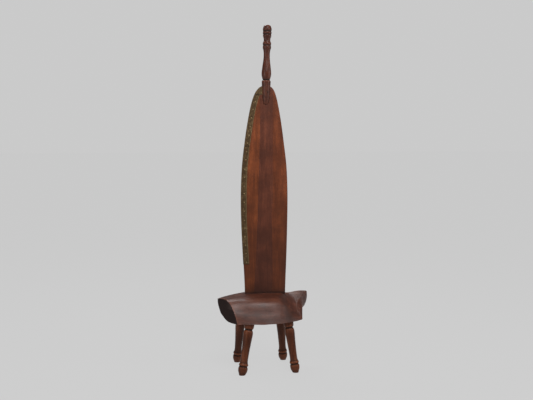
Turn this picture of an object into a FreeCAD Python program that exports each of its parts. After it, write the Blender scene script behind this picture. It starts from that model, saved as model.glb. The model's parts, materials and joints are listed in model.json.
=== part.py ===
import FreeCAD, Part
import math
import os
import Sketcher

from FreeCAD import Placement, Rotation, Vector

# A low chair whose back is one blade of a wooden aeroplane propeller and whose seat is the hub of one.
# Millimetres, +Z up, +Y towards the back of the chair, +X to the right of someone looking at its front.
# Everything is measured from the floor, midway between the four feet.  The sizes centre_x and centre_y
# then bring the middle of the whole chair's box over the frame's origin.

doc = FreeCAD.newDocument("PropellerChair")
sheet = doc.addObject("Spreadsheet::Sheet", "Sizes")

SIZES = [
    # placing of the whole chair in its frame
    ("centre_x", -3.305), ("centre_y", -11.135),
    # seat: five boards glued flat, one on the other
    ("seat_bottom", 213.0), ("board_thickness", 21.4), ("board_count", 5),
    ("seat_left_cut_x", -134.5), ("seat_left_cut_y", -82.0), ("seat_left_cut_angle", 29.0),
    # back: one blade, standing on the seat and leaning back
    ("blade_x", 13.0), ("blade_y", 60.0), ("seat_top", 320.0), ("blade_rake", 3.0), ("blade_side_lean", 0.25),
    ("ply_thickness", 19.0), ("ply_tilt", 14.3), ("first_ply_face", -21.9), ("ply_count", 4),
    ("tenon_width", 130.0), ("tenon_thickness", 24.0), ("tenon_depth", 64.2), ("tenon_y", 8.0),
    # brass sheathing on the blade's leading edge
    ("brass_gap", 0.2), ("brass_thickness", 1.0), ("brass_width", 24.0), ("brass_foot", 128.0),
    ("brass_joint_low", 650.0), ("brass_joint_high", 877.0), ("brass_top", 912.0), ("brass_tuck", 14.0),
    ("tack_head", 6.4), ("tack_dome", 1.5), ("tack_shank", 1.8), ("tack_length", 4.4), ("tack_lift", 0.12),
    ("tack_pitch", 37.5), ("tack_inset", 13.0), ("tack_count", 20), ("tack_first", 138.0),
    # finial, straddling the blade's tip
    ("finial_end", 829.0), ("finial_side_lean", 1.5), ("finial_x", 9.0), ("finial_y", 2.5),
    ("peg_diameter", 9.0), ("peg_height", 60.0), ("peg_side", 3.0),
    # legs
    ("front_foot_x", 117.0), ("front_foot_y", -105.0), ("back_foot_x", 106.0), ("back_foot_y", 105.0),
    ("front_left_top_x", -78.0), ("front_right_top_x", 92.0), ("front_top_y", -68.0),
    ("back_left_top_x", -94.0), ("back_right_top_x", 86.0), ("back_top_y", 70.0),
    ("leg_tenon", 25.0), ("leg_tenon_top", 253.0),
    # two screws through the seat into the blade's tenon
    ("screw_height", 288.0), ("screw_spacing", 70.0), ("screw_shank", 5.0), ("screw_head", 9.5),
    ("screw_length", 60.0), ("screw_sink", 6.0), ("screw_point_y", 51.0),
]

# One row per upright slice of the seat, from its left end to its right end.
SEAT_COLUMNS = ["x", "front_y", "front_z", "face_y", "face_z", "shoulder_y", "shoulder_z", "top_y", "top_z",
                "back_y", "back_z", "rear_y", "rear_z", "heel_y", "heel_z", "belly_y", "belly_z"]
SEAT_SLICES = [
    ("left_tip", -208, -72, 216, -60, 258, -40, 292, -10, 304, 32, 304, 32, 286, 10, 250, -34, 222),
    ("left_end", -190, -75, 215, -60, 259, -32, 297, 8, 308, 54, 305, 48, 280, 22, 244, -28, 218),
    ("left_wing", -172, -78, 214, -60, 260, -27, 301, 20, 311, 73, 306, 66, 275, 30, 240, -24, 215),
    ("left_root", -120, -86, 213, -66, 258, -32, 303, 26, 315, 92, 312, 94, 275, 66, 226, -10, 213),
    ("left_hub", -60, -98, 213, -78, 253, -44, 303, 20, 319, 105, 318, 112, 268, 92, 216, 0, 213),
    ("hub", 0, -106, 214, -86, 251, -52, 302, 16, 319, 106, 318, 114, 268, 98, 215, 0, 213),
    ("right_hub", 52, -106, 215, -86, 251, -50, 302, 14, 319, 104, 318, 111, 268, 92, 216, 0, 213),
    ("right_edge", 84, -102, 217, -82, 246, -48, 289, 14, 315, 99, 318, 106, 268, 86, 218, 0, 213),
    ("right_slope", 110, -96, 219, -76, 239, -44, 263, 12, 293, 94, 311, 99, 270, 76, 222, -4, 213),
    ("right_valley", 134, -90, 222, -70, 237, -34, 254, 16, 279, 88, 313, 91, 278, 64, 232, -10, 215),
    ("right_root", 162, -80, 226, -58, 241, -22, 262, 26, 285, 80, 319, 85, 288, 56, 246, -8, 221),
    ("right_horn", 188, -72, 230, -48, 250, -8, 274, 32, 294, 70, 321, 76, 296, 52, 258, 0, 228),
    ("right_tip", 220, -58, 236, -38, 256, 2, 280, 38, 300, 62, 319, 68, 304, 52, 270, 8, 238),
]
# The right end, seen from above: how far the block reaches at each depth, scooped in below the horn.
SCOOP_COLUMNS = ["y", "reach"]
SEAT_SCOOP = [
    ("ahead", -110, 144), ("corner", -84, 150.5), ("face", -50, 152), ("hollow", -16, 151), ("throat", 14, 156),
    ("rise", 38, 173), ("horn", 58, 203), ("tip", 76, 215), ("behind", 120, 222),
]

# One row per cross-section of the blade: height above the seat, how far the leading and trailing edges
# stand from the blade's line, thickness, and twist.
BLADE_COLUMNS = ["rise", "leading", "trailing", "thickness", "twist"]
BLADE_SECTIONS = [
    ("root", -24, 90, 91, 40, 1.0),
    ("neck", 60, 92, 94, 37, 0.5),
    ("low", 180, 98, 99, 32, -0.5),
    ("belly", 330, 103.5, 103, 27, -2.0),
    ("wide", 450, 103.5, 104, 23, -3.0),
    ("upper", 560, 98, 100, 19.5, -4.0),
    ("high", 660, 86.5, 89, 16.5, -4.5),
    ("shoulder", 760, 71, 76, 14, -5.0),
    ("cheek", 840, 54, 62, 12, -5.5),
    ("brow", 886, 37, 50, 10.5, -5.5),
    ("crown", 908, 20, 37, 9, -5.5),
    ("tip", 917, 6, 22, 7, -5.5),
]

# Turned profiles, as height and diameter pairs read up the piece.
LEG_TURNING = [
    ("sole", -6, 24), ("toe", 3, 29), ("foot", 24, 41), ("groove", 36, 33), ("ring_low", 41, 40.5),
    ("ring_high", 46, 40.5), ("ankle", 50, 34), ("shin", 72, 31.5), ("calf", 116, 34.5), ("knee", 158, 39.5),
    ("shoulder", 178, 41), ("shoulder_top", 187, 38), ("neck", 193, 31), ("collar_low", 199, 40),
    ("collar", 207, 42), ("collar_top", 220, 41),
]
FINIAL_TURNING = [
    ("point", 0, 14), ("bullet", 12, 27), ("cheek", 40, 35), ("straight", 78, 38.5), ("fillet", 96, 39),
    ("collar", 106, 40), ("collar_top", 109, 38), ("neck", 113, 30), ("swell_low", 124, 38),
    ("swell", 140, 43), ("swell_high", 168, 38), ("shaft_low", 208, 28.5), ("shaft", 228, 28),
    ("cup", 250, 35), ("ring_low", 260, 37.5), ("quirk_low", 266, 34), ("ring_mid", 273, 37.5),
    ("throat", 286, 30), ("flare", 300, 34), ("ring_third", 308, 37.5), ("quirk_mid", 314, 35.5),
    ("ring_high", 320, 40), ("quirk_high", 328, 36), ("ring_top", 336, 40), ("button", 344, 38),
    ("button_top", 351, 32), ("crown", 356, 22),
]


def write_sheet():
    """Put every driving size in its own cell, with its alias beside it."""
    rows = list(SIZES)
    tables = (
        (SEAT_COLUMNS, SEAT_SLICES, "seat"), (SCOOP_COLUMNS, SEAT_SCOOP, "scoop"),
        (BLADE_COLUMNS, BLADE_SECTIONS, "blade"))
    for columns, table, kind in tables:
        for entry in table:
            rows += [(f"{kind}_{entry[0]}_{column}", value) for column, value in zip(columns, entry[1:])]
    for kind, turning in (("leg", LEG_TURNING), ("finial", FINIAL_TURNING)):
        for name, height, diameter in turning:
            rows += [(f"{kind}_{name}_height", height), (f"{kind}_{name}_width", diameter)]
    for number, (alias, value) in enumerate(rows, start=1):
        sheet.set(f"A{number}", alias)
        sheet.set(f"B{number}", str(value))
        sheet.setAlias(f"B{number}", alias)
    doc.recompute()


def size(alias):
    """A driving size, read from the sheet."""
    return float(getattr(sheet, alias))


def table_row(kind, columns, name):
    return {column: size(f"{kind}_{name}_{column}") for column in columns}


write_sheet()


# ---------------------------------------------------------------- shared makers

def bind(item, bindings):
    for path, formula in bindings.items():
        item.setExpression(path, formula)


def free_form(name, shape):
    """An object whose Shape is worked out from the sheet, for the carved surfaces."""
    item = doc.addObject("Part::Feature", name)
    item.Shape = shape
    return item


def cut(name, base, tool):
    item = doc.addObject("Part::Cut", name)
    item.Base = base
    item.Tool = tool
    return item


def common(name, base, tool):
    item = doc.addObject("Part::Common", name)
    item.Base = base
    item.Tool = tool
    return item


def group_of(name, members):
    item = doc.addObject("Part::Compound", name)
    item.Links = members
    return item


def box(name, length, width, height, x, y, z):
    """A Part::Box whose sides and corner are formulas of the sheet's sizes."""
    item = doc.addObject("Part::Box", name)
    bind(item, {
        "Length": length, "Width": width, "Height": height,
        "Placement.Base.x": x, "Placement.Base.y": y, "Placement.Base.z": z,
    })
    return item


def spline(points):
    curve = Part.BSplineCurve()
    curve.interpolate([Vector(*point) for point in points])
    return curve.toShape()


def turned_body(name, turning, kind, tenon=None):
    """A PartDesign body turned about Z; the profile's points are joined by straight lines.

    tenon adds a straight round tenon on top, as a pair of sheet aliases: its diameter and its top.
    """
    body = doc.addObject("PartDesign::Body", name)
    sketch = body.newObject("Sketcher::SketchObject", name + "_profile")
    plane = next(item for item in body.Origin.OriginFeatures if item.Role == "XZ_Plane")
    sketch.AttachmentSupport = [(plane, "")]
    sketch.MapMode = "FlatFace"

    formulas = [(f"Sizes.{kind}_{entry[0]}_width / 2", f"Sizes.{kind}_{entry[0]}_height") for entry in turning]
    corners = [(entry[2] / 2, entry[1]) for entry in turning]
    if tenon:
        width, top = tenon
        shoulder = turning[-1][0]
        formulas += [(f"Sizes.{width} / 2", f"Sizes.{kind}_{shoulder}_height"),
                     (f"Sizes.{width} / 2", f"Sizes.{top}")]
        corners += [(size(width) / 2, turning[-1][1]), (size(width) / 2, size(top))]

    outline = [(0.0, corners[0][1])] + corners + [(0.0, corners[-1][1])]
    count = len(outline)
    for number in range(count):
        start = Vector(*outline[number], 0)
        end = Vector(*outline[(number + 1) % count], 0)
        sketch.addGeometry(Part.LineSegment(start, end), False)
    for number in range(count):
        sketch.addConstraint(Sketcher.Constraint("Coincident", number, 2, (number + 1) % count, 1))
    for number in (0, count - 1):
        sketch.addConstraint(Sketcher.Constraint("PointOnObject", number, 1, -2))
    for number in (0, count - 2):
        sketch.addConstraint(Sketcher.Constraint("Horizontal", number))
    for number, (radius, height) in enumerate(formulas, start=1):
        across, up = outline[number]
        first = sketch.addConstraint(Sketcher.Constraint("DistanceX", -1, 1, number, 1, across))
        second = sketch.addConstraint(Sketcher.Constraint("DistanceY", -1, 1, number, 1, up))
        sketch.setExpression(f"Constraints[{first}]", radius)
        sketch.setExpression(f"Constraints[{second}]", height)

    turn = body.newObject("PartDesign::Revolution", name + "_turning")
    turn.Profile = sketch
    turn.ReferenceAxis = (sketch, ["V_Axis"])
    turn.Angle = 360
    body.Tip = turn
    return body


subparts = []


def subpart(item, name):
    """Name a finished piece and bring it over the frame's origin."""
    piece = group_of(name, [item])
    piece.Label = name
    bind(piece, {"Placement.Base.x": "Sizes.centre_x", "Placement.Base.y": "Sizes.centre_y"})
    subparts.append(piece)


# ---------------------------------------------------------------- seat block

def seat_slice(row):
    """One upright slice: a sharp front-bottom edge, the front and top in one sweep, a sharp back-top edge,
    the back rounding under, and the flat bottom."""
    def corner(name):
        return (row["x"], row[name + "_y"], row[name + "_z"])
    front = spline([corner(name) for name in ("front", "face", "shoulder", "top", "back")])
    rear = spline([corner(name) for name in ("back", "rear", "heel")])
    belly = spline([corner(name) for name in ("heel", "belly", "front")])
    return Part.Wire([front, rear, belly])


seat_rows = [table_row("seat", SEAT_COLUMNS, entry[0]) for entry in SEAT_SLICES]
seat_carving = free_form("seat_carving", Part.makeLoft([seat_slice(row) for row in seat_rows], True))

SAW = 400.0             # the waste blocks are this big, well beyond the seat on every side


def sawn_waste():
    """The waste beyond the upright saw cut at the left end: a block whose face lies in the cut."""
    block = doc.addObject("Part::Box", "left_waste")
    block.Length = SAW
    block.Width = 2 * SAW
    block.Height = SAW
    turn = Rotation(Vector(0, 0, 1), 180 + size("seat_left_cut_angle"))
    start = Vector(size("seat_left_cut_x"), size("seat_left_cut_y"), 100)
    block.Placement = Placement(start + turn.multVec(Vector(0, -SAW, 0)), turn)
    return block


def scooped_waste():
    """The waste beyond the right end: everything past a curve drawn from above, scooped under the horn."""
    rows = [table_row("scoop", SCOOP_COLUMNS, entry[0]) for entry in SEAT_SCOOP]
    curve = spline([(row["reach"], row["y"], 100) for row in rows])
    first, last = rows[0], rows[-1]
    around = Part.makePolygon([
        Vector(last["reach"], last["y"], 100), Vector(SAW, last["y"], 100), Vector(SAW, first["y"], 100),
        Vector(first["reach"], first["y"], 100)])
    face = Part.Face(Part.Wire(Part.sortEdges(curve.Edges + around.Edges)[0]))
    return free_form("right_waste", face.extrude(Vector(0, 0, SAW)))


seat_shaped = cut("seat_shaped", cut("seat_left_sawn", seat_carving, sawn_waste()), scooped_waste())


# ---------------------------------------------------------------- blade

# The blade's own frame stands on the seat, leans back by the rake and a touch to the right.
blade_frame = Placement(
    Vector(size("blade_x"), size("blade_y"), size("seat_top")),
    Rotation(Vector(0, 1, 0), size("blade_side_lean")) * Rotation(Vector(1, 0, 0), -size("blade_rake")))

FACE_POINTS = 11        # points across each face of a section
FRONT_SHARE = 0.25      # part of the thickness in front of the chord; the rest is the rounded back

blade_rows = [table_row("blade", BLADE_COLUMNS, entry[0]) for entry in BLADE_SECTIONS]
blade_tip = blade_rows[-1]["rise"]


def blade_at(rise):
    """The section's sizes at any height: a smooth cubic through the table's rows."""
    place = 0
    while place < len(blade_rows) - 2 and rise > blade_rows[place + 1]["rise"]:
        place += 1
    low = blade_rows[place]
    high = blade_rows[place + 1]
    before = blade_rows[max(place - 1, 0)]
    after = blade_rows[min(place + 2, len(blade_rows) - 1)]
    span = high["rise"] - low["rise"]
    share = (rise - low["rise"]) / span
    found = {"rise": rise}
    for column in BLADE_COLUMNS[1:]:
        leave = span * (high[column] - before[column]) / (high["rise"] - before["rise"])
        arrive = span * (after[column] - low[column]) / (after["rise"] - low["rise"])
        found[column] = (
            low[column] * (2 * share**3 - 3 * share**2 + 1) + leave * (share**3 - 2 * share**2 + share)
            + high[column] * (3 * share**2 - 2 * share**3) + arrive * (share**3 - share**2))
    return found


def blade_face(row, side, grow=0.0, inset=None):
    """Points across one face of a section, from the leading edge; side is 1 behind and -1 in front.

    The place across is half width x cosine of an angle; the depth is the back share times its sine
    behind, and the front share times the root of its sine in front.  inset stops that far from the edge.
    """
    half = (row["leading"] + row["trailing"]) / 2 + grow
    middle = (row["trailing"] - row["leading"]) / 2
    share = 1 - FRONT_SHARE if side > 0 else FRONT_SHARE
    reach = math.pi if inset is None else math.acos(1 - (inset + grow) / half)
    twist = math.radians(row["twist"])
    points = []
    for number in range(FACE_POINTS):
        angle = math.pi - reach * number / (FACE_POINTS - 1)
        across = middle + half * math.cos(angle)
        lift = max(math.sin(angle), 0.0)
        depth = (row["thickness"] * share + grow) * side * (lift if side > 0 else math.sqrt(lift))
        if number == 0 or (inset is None and number == FACE_POINTS - 1):
            depth = 0.0
        points.append((
            across * math.cos(twist) - depth * math.sin(twist),
            across * math.sin(twist) + depth * math.cos(twist),
            row["rise"]))
    return points


def heights_between(low, high):
    """The table's heights and the places midway between them, from low to high."""
    rises = [row["rise"] for row in blade_rows]
    rises += [(first + second) / 2 for first, second in zip(rises, rises[1:])]
    return [low] + sorted(rise for rise in rises if low + 4 < rise < high - 4) + [high]


def blade_slice(row):
    behind = blade_face(row, 1)
    ahead = blade_face(row, -1)
    return Part.Wire([spline(behind), spline(ahead[::-1])])


blade_slices = [blade_slice(blade_at(rise)) for rise in heights_between(blade_rows[0]["rise"], blade_tip)]
blade_carving = free_form("blade_carving", Part.makeLoft(blade_slices, True))
blade_carving.Placement = blade_frame
blade_seated = cut("blade_seated", blade_carving, seat_shaped)


def blade_box(name, length, width, height, x, y, z, turn=0.0):
    """A block placed in the blade's own frame, turned about the blade's length."""
    block = doc.addObject("Part::Box", name)
    block.Length = length
    block.Width = width
    block.Height = height
    turning = Rotation(Vector(0, 0, 1), turn)
    block.Placement = blade_frame * Placement(turning.multVec(Vector(x, y, 0)) + Vector(0, 0, z), turning)
    return block


TENON_LAP = 6.0         # the tenon's block runs this far up inside the blade
tenon = blade_box(
    "tenon", size("tenon_width"), size("tenon_thickness"), size("tenon_depth") + TENON_LAP,
    -size("tenon_width") / 2, size("tenon_y") - size("tenon_thickness") / 2, -size("tenon_depth"))
blade_stock = doc.addObject("Part::Fuse", "blade_stock")
blade_stock.Base = blade_seated
blade_stock.Tool = tenon


# ---------------------------------------------------------------- finial and its peg

finial_turned = turned_body("finial_turned", FINIAL_TURNING, "finial")
finial_turned.Placement = blade_frame * Placement(
    Vector(size("finial_x"), size("finial_y"), size("finial_end")),
    Rotation(Vector(0, 1, 0), size("finial_side_lean")))

PEG_REACH = 60.0        # longer than the finial is thick, so that both ends finish flush
peg_rod = doc.addObject("Part::Cylinder", "peg_rod")
bind(peg_rod, {"Radius": "Sizes.peg_diameter / 2"})
peg_rod.Height = PEG_REACH
peg_rod.Placement = finial_turned.Placement * Placement(
    Vector(size("peg_side"), PEG_REACH / 2, size("peg_height")), Rotation(Vector(1, 0, 0), 90))
finial_peg = common("peg_flush", peg_rod, finial_turned)
finial_slotted = cut("finial_slotted", finial_turned, blade_carving)
finial = cut("finial_bored", finial_slotted, peg_rod)


# ---------------------------------------------------------------- legs

def leg(row, side):
    """A turned leg whose foot stands at its place on the floor and whose top leans in under the seat."""
    name = f"leg_{row}_{side}"
    foot_x = size(f"{row}_foot_x") * (-1 if side == "left" else 1)
    foot = Vector(foot_x, size(f"{row}_foot_y"), 0)
    top = Vector(size(f"{row}_{side}_top_x"), size(f"{row}_top_y"), size("seat_bottom"))
    turned = turned_body(name + "_turned", LEG_TURNING, "leg", ("leg_tenon", "leg_tenon_top"))
    turned.Placement = Placement(foot, Rotation(Vector(0, 0, 1), top - foot))
    return cut(name + "_trimmed", turned, floor)


floor = box("floor", "1000", "1000", "60", "-500", "-500", "-60")
LEGS = [("front", "left"), ("front", "right"), ("back", "left"), ("back", "right")]
legs = [leg(*entry) for entry in LEGS]
leg_set = group_of("leg_set", legs)


# ---------------------------------------------------------------- tenon screws

def screw_shape():
    """A countersunk wood screw standing on its point, turned from its outline."""
    shank = size("screw_shank") / 2
    head = size("screw_head") / 2
    length = size("screw_length")
    outline = [
        Vector(0, 0, 0), Vector(shank, 0, 3 * shank), Vector(shank, 0, length - head + shank),
        Vector(head, 0, length), Vector(head, 0, length + size("screw_sink")),
        Vector(0, 0, length + size("screw_sink")), Vector(0, 0, 0)]
    return Part.Face(Part.makePolygon(outline)).revolve(Vector(0, 0, 0), Vector(0, 0, 1), 360)


screw_bodies = []
for number, side in enumerate((-1, 1), start=1):
    screw = free_form(f"screw_{number}", screw_shape())
    screw.Placement = Placement(
        Vector(size("blade_x") + side * size("screw_spacing") / 2, size("screw_point_y"), size("screw_height")),
        Rotation(Vector(1, 0, 0), -90))
    screw_bodies.append(screw)
screw_set = group_of("screw_set", screw_bodies)
tenon_screws = common("screws_flush", screw_set, seat_shaped)


# ---------------------------------------------------------------- brass sheathing and its tacks

def brass_slice(row, inset):
    """A hook-shaped section of bent sheet, round the leading edge and inset onto both faces."""
    inner = size("brass_gap")
    outer = inner + size("brass_thickness")
    ahead = blade_face(row, -1, outer, inset)
    behind = blade_face(row, 1, outer, inset)
    under_behind = blade_face(row, 1, inner, inset)
    under_ahead = blade_face(row, -1, inner, inset)
    return Part.Wire([
        spline(ahead[::-1]), spline(behind), Part.makeLine(Vector(*behind[-1]), Vector(*under_behind[-1])),
        spline(under_behind[::-1]), spline(under_ahead),
        Part.makeLine(Vector(*under_ahead[-1]), Vector(*ahead[-1]))])


def brass_piece(name, low, high, whole_tip=False):
    """One length of the sheathing; the tip's piece covers its whole corner, as far as the finial."""
    slices = []
    for rise in heights_between(low, high):
        row = blade_at(rise)
        inset = size("brass_width")
        if whole_tip:
            inset = row["leading"] + size("finial_x") - size("brass_tuck")
        slices.append(brass_slice(row, inset))
    item = free_form(name, Part.makeLoft(slices, True))
    item.Placement = blade_frame
    return item


BRASS = [("brass_sheath_lower", size("brass_foot"), size("brass_joint_low"), False),
         ("brass_sheath_upper", size("brass_joint_low"), size("brass_joint_high"), False),
         ("brass_sheath_tip", size("brass_joint_high"), size("brass_top"), True)]


def tack_shape():
    """A domed tack with its head's underside at the origin and its clipped shank towards -Z."""
    head = size("tack_head") / 2
    dome = size("tack_dome")
    length = size("tack_length")
    ball = (head * head + dome * dome) / (2 * dome)
    cap = Part.makeSphere(ball, Vector(0, 0, dome - ball))
    cap = cap.common(Part.makeCylinder(head, dome + 1))
    shank = Part.makeCylinder(size("tack_shank") / 2, length + dome / 2, Vector(0, 0, -length))
    return cap.fuse(shank).removeSplitter()


def brass_surface(row, inset, back):
    """A point on the brass's outer face, and the slope of the face there."""
    outer = size("brass_gap") + size("brass_thickness")
    side = 1 if back else -1
    here = Vector(*blade_face(row, side, outer, inset)[-1])
    nearby = Vector(*blade_face(row, side, outer, inset + 1)[-1])
    return here, math.degrees(math.atan2(nearby.y - here.y, nearby.x - here.x))


def tack_places(back):
    """Where the tacks of one face stand, each square to the brass under it.

    The back row is half a pitch higher, so that no two shanks meet in the thin edge.
    """
    places = []
    for number in range(int(size("tack_count")) - back):
        rise = size("tack_first") + (number + back / 2) * size("tack_pitch")
        point, slope = brass_surface(blade_at(rise), size("tack_inset"), back)
        turn = Rotation(Vector(0, 0, 1), slope) * Rotation(Vector(1, 0, 0), -90 if back else 90)
        places.append(Placement(point + turn.multVec(Vector(0, 0, size("tack_lift"))), turn))
    return places


def placed_set(name, shape, places):
    """Copies of one small shape, standing at their places on the blade."""
    members = []
    for place in places:
        member = shape.copy()
        member.Placement = place
        members.append(member)
    item = free_form(name, Part.makeCompound(members))
    item.Placement = blade_frame
    return item


tacks_front = placed_set("tacks_front", tack_shape(), tack_places(0))
tacks_back = placed_set("tacks_back", tack_shape(), tack_places(1))
drill = Part.makeCylinder(
    size("tack_shank") / 2, 2 * size("tack_length"), Vector(0, 0, -size("tack_length")))
tack_holes = placed_set("tack_holes", drill, tack_places(0) + tack_places(1))


# ---------------------------------------------------------------- finished pieces

seat_ready = cut("seat_screwed", cut("seat_legged", cut("seat_mortised", seat_shaped, tenon), leg_set), screw_set)
board_count = int(size("board_count"))
for number in range(board_count):
    first = number == 0
    last = number == board_count - 1
    height = "Sizes.board_thickness" + (" * 2" if last else "")
    slab = box(f"board_{number + 1}", "600", "600", height, "-300", "-300",
               f"Sizes.seat_bottom + {number} * Sizes.board_thickness")
    if first:
        bind(slab, {"Height": "Sizes.board_thickness + 20", "Placement.Base.z": "Sizes.seat_bottom - 20"})
    subpart(common(f"seat_cut_{number + 1}", seat_ready, slab), f"seat_ply_{number + 1}")

blade_screwed = cut("blade_screwed", blade_stock, screw_set)
blade_ready = cut("blade_pegged", cut("blade_tacked", blade_screwed, tack_holes), peg_rod)

BLADE_REACH = 1200.0    # taller than the blade and its tenon
BEYOND = 160.0          # well outside the blade on every side
ply_count = int(size("ply_count"))
for number in range(ply_count):
    front = -size("first_ply_face") - number * size("ply_thickness")
    back = BEYOND if number == 0 else front + size("ply_thickness")
    front = -BEYOND if number == ply_count - 1 else front
    slab = blade_box(f"layer_{number + 1}", 2 * BEYOND, back - front, BLADE_REACH,
                     -BEYOND, front, -100, size("ply_tilt"))
    subpart(common(f"blade_cut_{number + 1}", blade_ready, slab), f"blade_ply_{number + 1}")

for name, low, high, whole_tip in BRASS:
    piece = cut(name + "_drilled", brass_piece(name + "_bent", low, high, whole_tip), tack_holes)
    if whole_tip:
        piece = cut(name + "_fitted", piece, finial_turned)
    subpart(piece, name)
subpart(tacks_front, "sheath_tacks_front")
subpart(tacks_back, "sheath_tacks_back")

subpart(finial, "finial")
subpart(finial_peg, "finial_peg")
for item, (row, side) in zip(legs, LEGS):
    subpart(item, f"leg_{row}_{side}")
subpart(tenon_screws, "tenon_screws")
doc.recompute()


# ---------------------------------------------------------------- check and write

for item in doc.Objects:
    bad = [word for word in item.State if word in ("Invalid", "Error")]
    if bad:
        raise RuntimeError(f"{item.Name} is {bad}")
for item in subparts:
    if item.Shape.isNull() or not item.Shape.isValid():
        raise RuntimeError(f"{item.Label} has no valid shape")

os.makedirs("parts", exist_ok=True)
whole = FreeCAD.BoundBox()
for item in subparts:
    item.Shape.exportStep(f"parts/{item.Label}.step")
    whole.add(item.Shape.optimalBoundingBox())
    print(f"{item.Label:22s} solids {len(item.Shape.Solids):3d}  volume {item.Shape.Volume / 1000:9.2f} cm3")
corners = (whole.XMin, whole.XMax, whole.YMin, whole.YMax, whole.ZMin, whole.ZMax)
print("box", [round(value, 2) for value in corners])
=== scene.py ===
# A low chair made from a wooden aeroplane propeller: hub seat, blade back, turned finial, four turned legs.
# Metres, +Z up, +Y towards the back of the chair.  Shapes are worked out in millimetres from the middle of
# the four feet and carried into the frame at the end of each section.
import json
import math

import bmesh
import bpy
import numpy as np
from mathutils import Matrix, Vector


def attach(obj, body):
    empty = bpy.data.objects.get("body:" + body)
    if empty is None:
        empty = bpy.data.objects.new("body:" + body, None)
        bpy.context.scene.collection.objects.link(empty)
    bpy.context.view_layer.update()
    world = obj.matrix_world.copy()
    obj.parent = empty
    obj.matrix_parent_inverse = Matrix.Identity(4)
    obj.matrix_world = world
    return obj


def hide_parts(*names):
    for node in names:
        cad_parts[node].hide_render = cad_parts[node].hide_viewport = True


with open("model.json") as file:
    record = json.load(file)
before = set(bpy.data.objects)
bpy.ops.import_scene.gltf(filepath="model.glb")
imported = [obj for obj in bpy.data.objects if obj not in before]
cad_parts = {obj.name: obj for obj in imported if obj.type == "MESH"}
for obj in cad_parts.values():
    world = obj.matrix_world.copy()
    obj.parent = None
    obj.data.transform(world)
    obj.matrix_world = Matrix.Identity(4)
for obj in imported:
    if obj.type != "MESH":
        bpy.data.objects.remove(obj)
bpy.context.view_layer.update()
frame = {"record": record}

scene = bpy.context.scene


# ---- Seat -----------------------------------------------------------------------------------------------
# The hub block of the propeller with a stub of blade root at each end, glued up from five flat mahogany
# boards.  It is carved to shape, its left end is sawn bare and its right end is rounded over and varnished.

feet = [np.array(mount["pos_m"]) for mount in frame["record"]["mounts"]]
middle_of_feet = np.mean(feet, axis=0)
into_frame = Matrix.Translation(Vector(middle_of_feet)) @ Matrix.Scale(0.001, 4)


def smooth_through(knots, values, places):
    """A smooth curve through values at knots, read at places: a cubic between each pair of knots, whose
    slope at a knot is the slope from the knot before it to the knot after it."""
    knots = np.asarray(knots, float)
    values = np.asarray(values, float)
    last = len(knots) - 1
    low = np.clip(np.searchsorted(knots, places, side="right") - 1, 0, last - 1)
    high = low + 1
    before = np.maximum(low - 1, 0)
    after = np.minimum(low + 2, last)
    span = knots[high] - knots[low]
    share = (np.asarray(places) - knots[low]) / span

    def spread(numbers):
        """Give numbers as many axes as the values have."""
        return numbers.reshape(numbers.shape + (1,) * (values.ndim - 1))
    leave = spread(span / (knots[high] - knots[before])) * (values[high] - values[before])
    arrive = spread(span / (knots[after] - knots[low])) * (values[after] - values[low])
    share = spread(share)
    return (values[low] * (2 * share**3 - 3 * share**2 + 1) + leave * (share**3 - 2 * share**2 + share)
            + values[high] * (3 * share**2 - 2 * share**3) + arrive * (share**3 - share**2))


def along_points(points, count):
    """count places spread evenly along a smooth curve through a few points."""
    points = np.asarray(points, float)
    steps = np.linalg.norm(np.diff(points, axis=0), axis=1)
    knots = np.concatenate([[0.0], np.cumsum(steps)])
    return smooth_through(knots, points, np.linspace(0.0, knots[-1], count))


def ripple(points, size, seed):
    """Gentle hand-worked unevenness between about -1 and 1: twelve sine waves about size long, added up,
    each running its own way through space."""
    rng = np.random.default_rng(seed)
    ways = rng.normal(size=(12, 3))
    ways *= (2 * np.pi / size) * rng.uniform(0.6, 1.3, (12, 1)) / np.linalg.norm(ways, axis=1, keepdims=True)
    phases = rng.uniform(0, 2 * np.pi, 12)
    return np.sin(points @ ways.T + phases).sum(axis=-1) / 4.0


def grid_faces(rows, columns):
    """Quads between the points of a grid, numbered row by row; the last column joins the first."""
    row = np.arange(rows - 1)[:, None] * columns
    column = np.arange(columns)[None, :]
    after = (column + 1) % columns
    quads = np.stack([row + column, row + after, row + columns + after, row + columns + column], axis=-1)
    return quads.reshape(-1, 4)


def capped_faces(rows, columns):
    """The quads of a closed grid, then its first ring turned over and its last ring as flat ends."""
    first = list(range(columns))
    last = [(rows - 1) * columns + column for column in first]
    return grid_faces(rows, columns).tolist() + [first[::-1], last]


def mesh_from(name, points, faces, wear_and_shade=None):
    """A mesh from points and faces; the last is each point's rubbing, or grime and painted shade below zero.
    """
    mesh = bpy.data.meshes.new(name)
    mesh.from_pydata(np.asarray(points).reshape(-1, 3).tolist(), [], [list(face) for face in faces])
    if wear_and_shade is not None:
        wear = mesh.attributes.new("wear_and_shade", "FLOAT", "POINT")
        wear.data.foreach_set("value", np.asarray(wear_and_shade, float).ravel())
    mesh.validate()
    piece = bpy.data.objects.new(name, mesh)
    scene.collection.objects.link(piece)
    return piece


def smooth_shade(piece, angle=38.0):
    """Soft shading over rounded faces, with a crisp line where two faces meet at more than the angle."""
    mesh = piece.data
    mesh.polygons.foreach_set("use_smooth", np.ones(len(mesh.polygons), bool))
    mesh.set_sharp_from_angle(angle=math.radians(angle))


def finish_piece(piece, materials, slot, *nodes, angle=38.0):
    """Shade a piece, give it its materials, hang it on the root body and hide the CAD parts it stands in for.
    """
    smooth_shade(piece, angle)
    for material in materials:
        piece.data.materials.append(material)
    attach(piece, "root")
    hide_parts(*nodes)


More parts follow.
